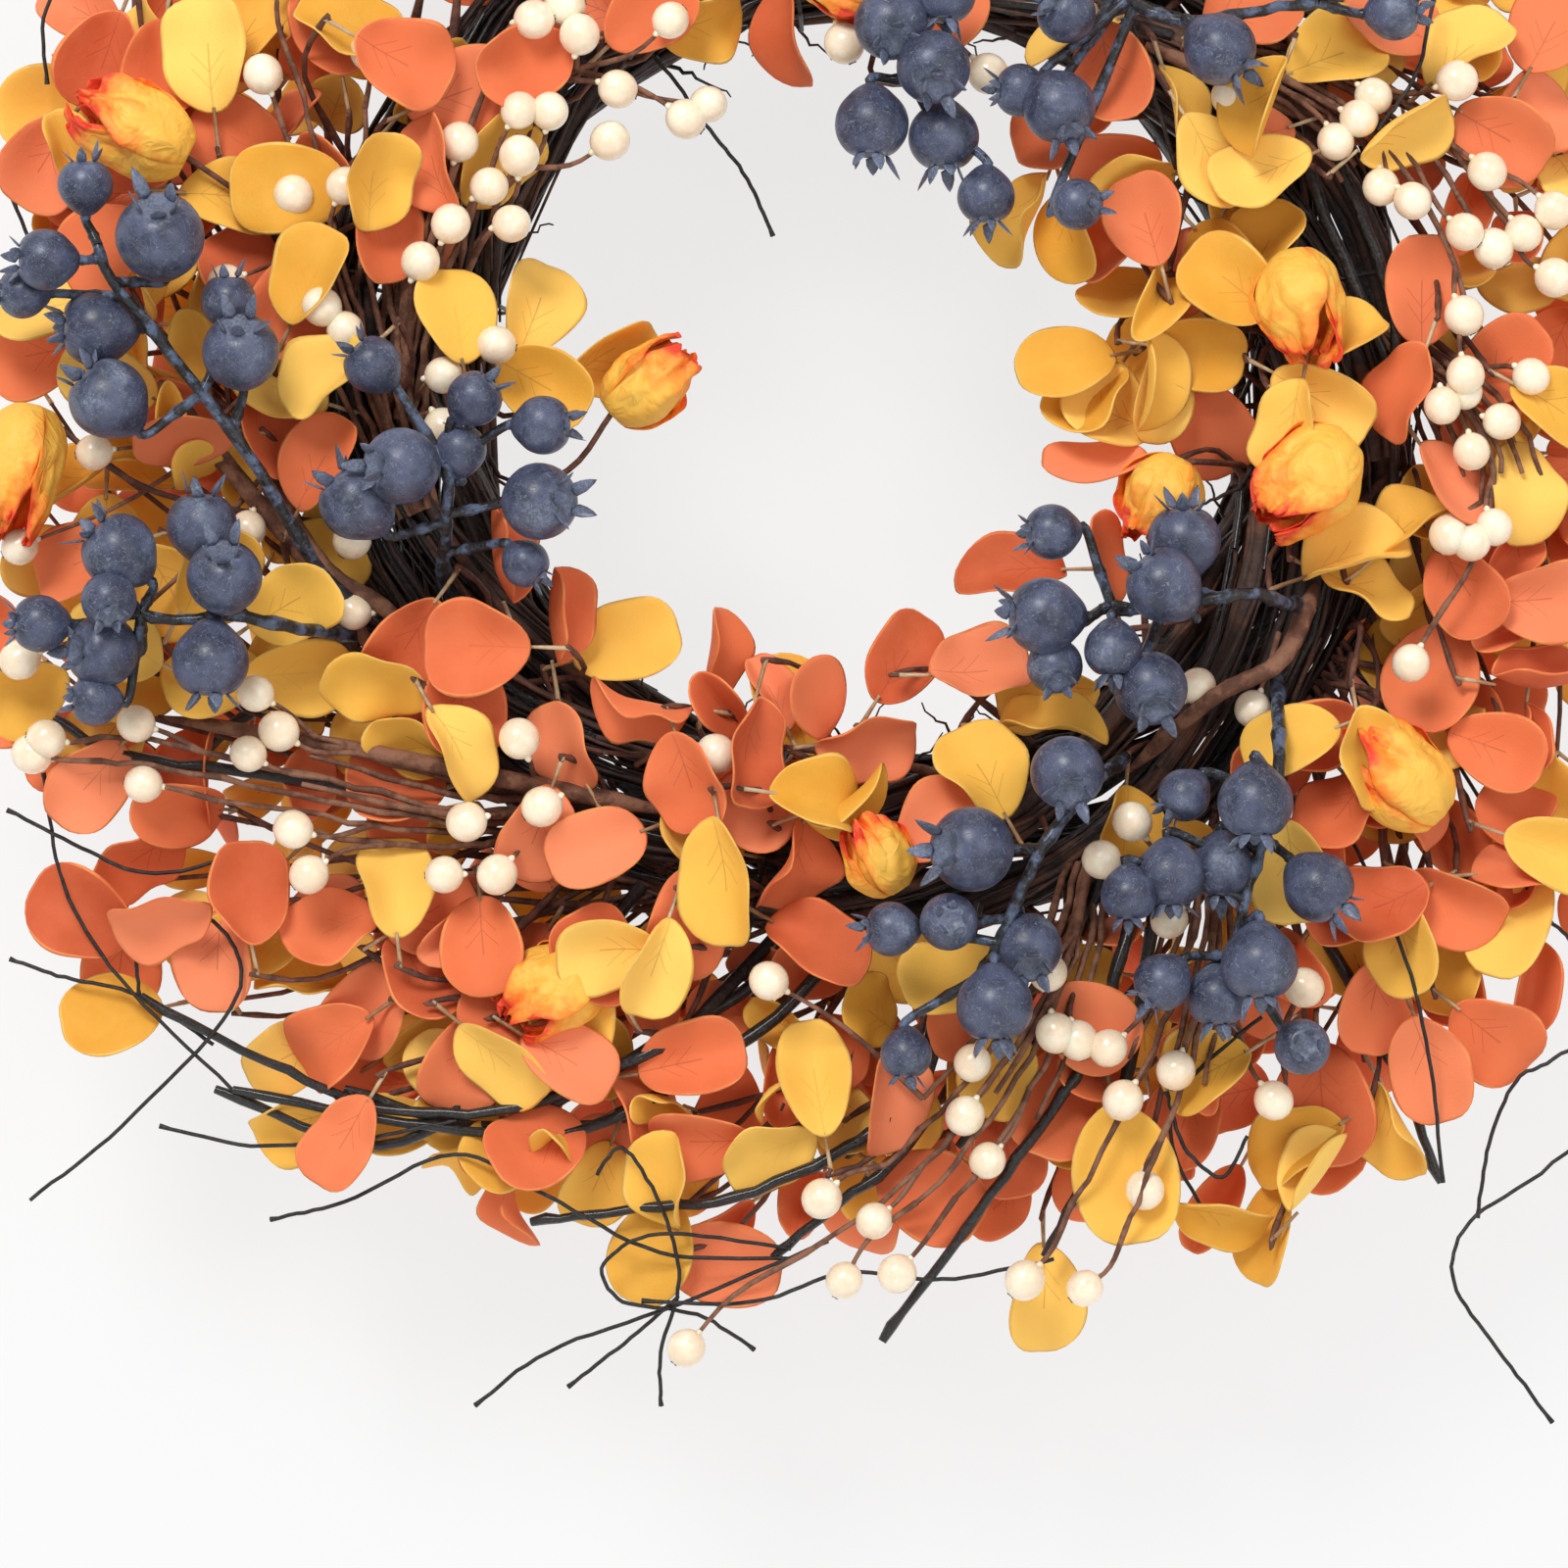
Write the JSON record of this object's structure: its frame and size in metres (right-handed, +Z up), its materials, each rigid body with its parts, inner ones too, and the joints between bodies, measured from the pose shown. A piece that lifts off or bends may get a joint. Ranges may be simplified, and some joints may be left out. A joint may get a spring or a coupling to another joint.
{
  "type": "harvest wreath",
  "caption": "Round door wreath: a twisted twig ring on a wire hoop, carrying bendable berry picks, round-leaf sprays, flower buds and bare twigs.",
  "frame": {"origin": "where the door hook carries the wreath: the top of the inner side of the twig base, on its middle plane", "axes": "+X right seen from the front, +Z up as it hangs, -Y towards the viewer; the back rests against the door on +Y"},
  "size_m": [0.5243, 0.1036, 0.523],
  "materials": {
    "twig": "dark rough bark",
    "wire": "dull dark wire",
    "leaf_orange": "matte foam sheet, burnt orange",
    "leaf_yellow": "matte foam sheet, mustard yellow",
    "blueberry": "satin indigo with a pale bloom",
    "cream_berry": "smooth glossy cream",
    "flower_petal": "crinkled paper, yellow to red-orange",
    "black_stem": "glossy black coat on a wired twig"
  },
  "bodies": {
    "base": {"binding_wire_1": "wire", "binding_wire_2": "wire", "binding_wire_3": "wire", "binding_wire_4": "wire", "black_twig_bottom_long": "black_stem", "black_twig_bottom_middle": "black_stem", "black_twig_bottom_right": "black_stem", "black_twig_left_low": "black_stem", "black_twig_right_low": "black_stem", "black_twig_right_top": "black_stem", "cream_berry_spray_bottom_left": "cream_berry", "cream_berry_spray_bottom_right": "cream_berry", "cream_berry_spray_left_inner": "cream_berry", "cream_berry_spray_left_lower": "cream_berry", "cream_berry_spray_left_outer": "cream_berry", "cream_berry_spray_right_lower": "cream_berry", "cream_berry_spray_right_upper": "cream_berry", "cream_berry_spray_top": "cream_berry", "flower_bud_bottom_left": "flower_petal", "flower_bud_left_edge": "flower_petal", "flower_bud_left_top": "flower_petal", "flower_bud_opening_bottom": "flower_petal", "flower_bud_opening_left": "flower_petal", "flower_bud_opening_right": "flower_petal", "flower_bud_right_edge": "flower_petal", "flower_bud_right_middle": "flower_petal", "flower_bud_right_top": "flower_petal", "flower_bud_top": "flower_petal", "hoop_wire": "wire", "leaf_spray_front_bottom": "leaf_orange", "leaf_spray_front_left": "leaf_yellow", "leaf_spray_front_right": "leaf_yellow", "leaf_spray_front_right_edge": "leaf_orange", "leaf_spray_front_top": "leaf_orange", "leaf_spray_outer_1": "leaf_orange", "leaf_spray_outer_2": "leaf_yellow", "leaf_spray_outer_3": "leaf_orange", "leaf_spray_outer_4": "leaf_yellow", "leaf_spray_outer_5": "leaf_orange", "leaf_spray_outer_6": "leaf_yellow", "leaf_spray_outer_7": "leaf_orange", "leaf_spray_outer_8": "leaf_yellow", "leaf_spray_outer_9": "leaf_orange", "twig_bundle_1": "twig", "twig_bundle_2": "twig", "twig_bundle_3": "twig", "twig_bundle_4": "twig", "twig_bundle_5": "twig", "twig_bundle_6": "twig"},
    "pick_bottom": {"blueberry_pick_bottom": "blueberry"},
    "pick_left_lower": {"blueberry_pick_left_lower": "blueberry"},
    "pick_left_middle": {"blueberry_pick_left_middle": "blueberry"},
    "pick_left_upper": {"blueberry_pick_left_upper": "blueberry"},
    "pick_right_lower": {"blueberry_pick_right_lower": "blueberry"},
    "pick_right_middle": {"blueberry_pick_right_middle": "blueberry"},
    "pick_top_hanging": {"blueberry_pick_top_hanging": "blueberry"},
    "pick_top_left": {"blueberry_pick_top_left": "blueberry"},
    "pick_top_outer": {"blueberry_pick_top_outer": "blueberry"},
    "pick_top_right": {"blueberry_pick_top_right": "blueberry"}
  },
  "joints": [
    {"name": "bottom_bend", "type": "hinge", "parent": "base", "child": "pick_bottom", "pos_m": [0.069, -0.02766, -0.2015], "axis": [-0.7211, 0, 0.6928], "range_deg": [0, 15]},
    {"name": "left_lower_bend", "type": "hinge", "parent": "base", "child": "pick_left_lower", "pos_m": [-0.132, -0.01723, -0.1685], "axis": [0.1406, 0, 0.9901], "range_deg": [0, 15]},
    {"name": "left_middle_bend", "type": "hinge", "parent": "base", "child": "pick_left_middle", "pos_m": [-0.113, -0.02822, -0.1565], "axis": [0.9953, 0, -0.0964], "range_deg": [0, 15]},
    {"name": "left_upper_bend", "type": "hinge", "parent": "base", "child": "pick_left_upper", "pos_m": [-0.127, -0.02372, -0.1645], "axis": [0.7839, 0, 0.6208], "range_deg": [0, 15]},
    {"name": "right_lower_bend", "type": "hinge", "parent": "base", "child": "pick_right_lower", "pos_m": [0.11, -0.02625, -0.1805], "axis": [-0.9715, 0, 0.2371], "range_deg": [0, 15]},
    {"name": "right_middle_bend", "type": "hinge", "parent": "base", "child": "pick_right_middle", "pos_m": [0.117, -0.02764, -0.1605], "axis": [-0.044, 0, 0.999], "range_deg": [0, 15]},
    {"name": "top_hanging_bend", "type": "hinge", "parent": "base", "child": "pick_top_hanging", "pos_m": [0.018, -0.02461, 0.0135], "axis": [-0.9943, 0, 0.1063], "range_deg": [0, 15]},
    {"name": "top_left_bend", "type": "hinge", "parent": "base", "child": "pick_top_left", "pos_m": [-0.07, -0.02789, 0.0075], "axis": [0.7998, 0, 0.6002], "range_deg": [0, 15]},
    {"name": "top_outer_bend", "type": "hinge", "parent": "base", "child": "pick_top_outer", "pos_m": [0.042, -0.02624, 0.0275], "axis": [0.9297, 0, -0.3683], "range_deg": [0, 15]},
    {"name": "top_right_bend", "type": "hinge", "parent": "base", "child": "pick_top_right", "pos_m": [0.06, -0.02808, 0.0115], "axis": [-0.8565, 0, -0.5162], "range_deg": [0, 15]}
  ]
}
